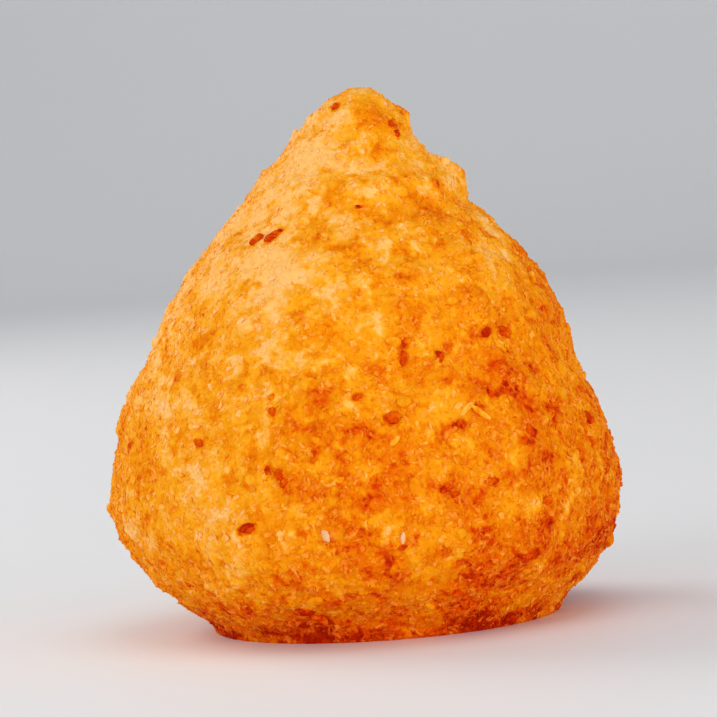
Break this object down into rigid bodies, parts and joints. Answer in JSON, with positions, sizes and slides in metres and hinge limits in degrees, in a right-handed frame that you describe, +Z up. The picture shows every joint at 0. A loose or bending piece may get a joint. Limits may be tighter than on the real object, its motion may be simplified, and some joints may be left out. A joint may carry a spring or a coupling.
{
  "type": "coxinha",
  "caption": "Drop-shaped fried snack of dough in a crisp crumb coat, standing on a flat foot with a blunt tip; a savoury to eat by hand.",
  "frame": {"origin": "middle of the flat foot that it stands on", "axes": "+Z up to the tip, -Y towards the side seen in the picture, +X to the right of that side"},
  "size_m": [0.0626, 0.0613, 0.0643],
  "materials": {
    "fried_crust": null
  },
  "bodies": {
    "root": {"coxinha": "fried_crust"}
  },
  "joints": []
}
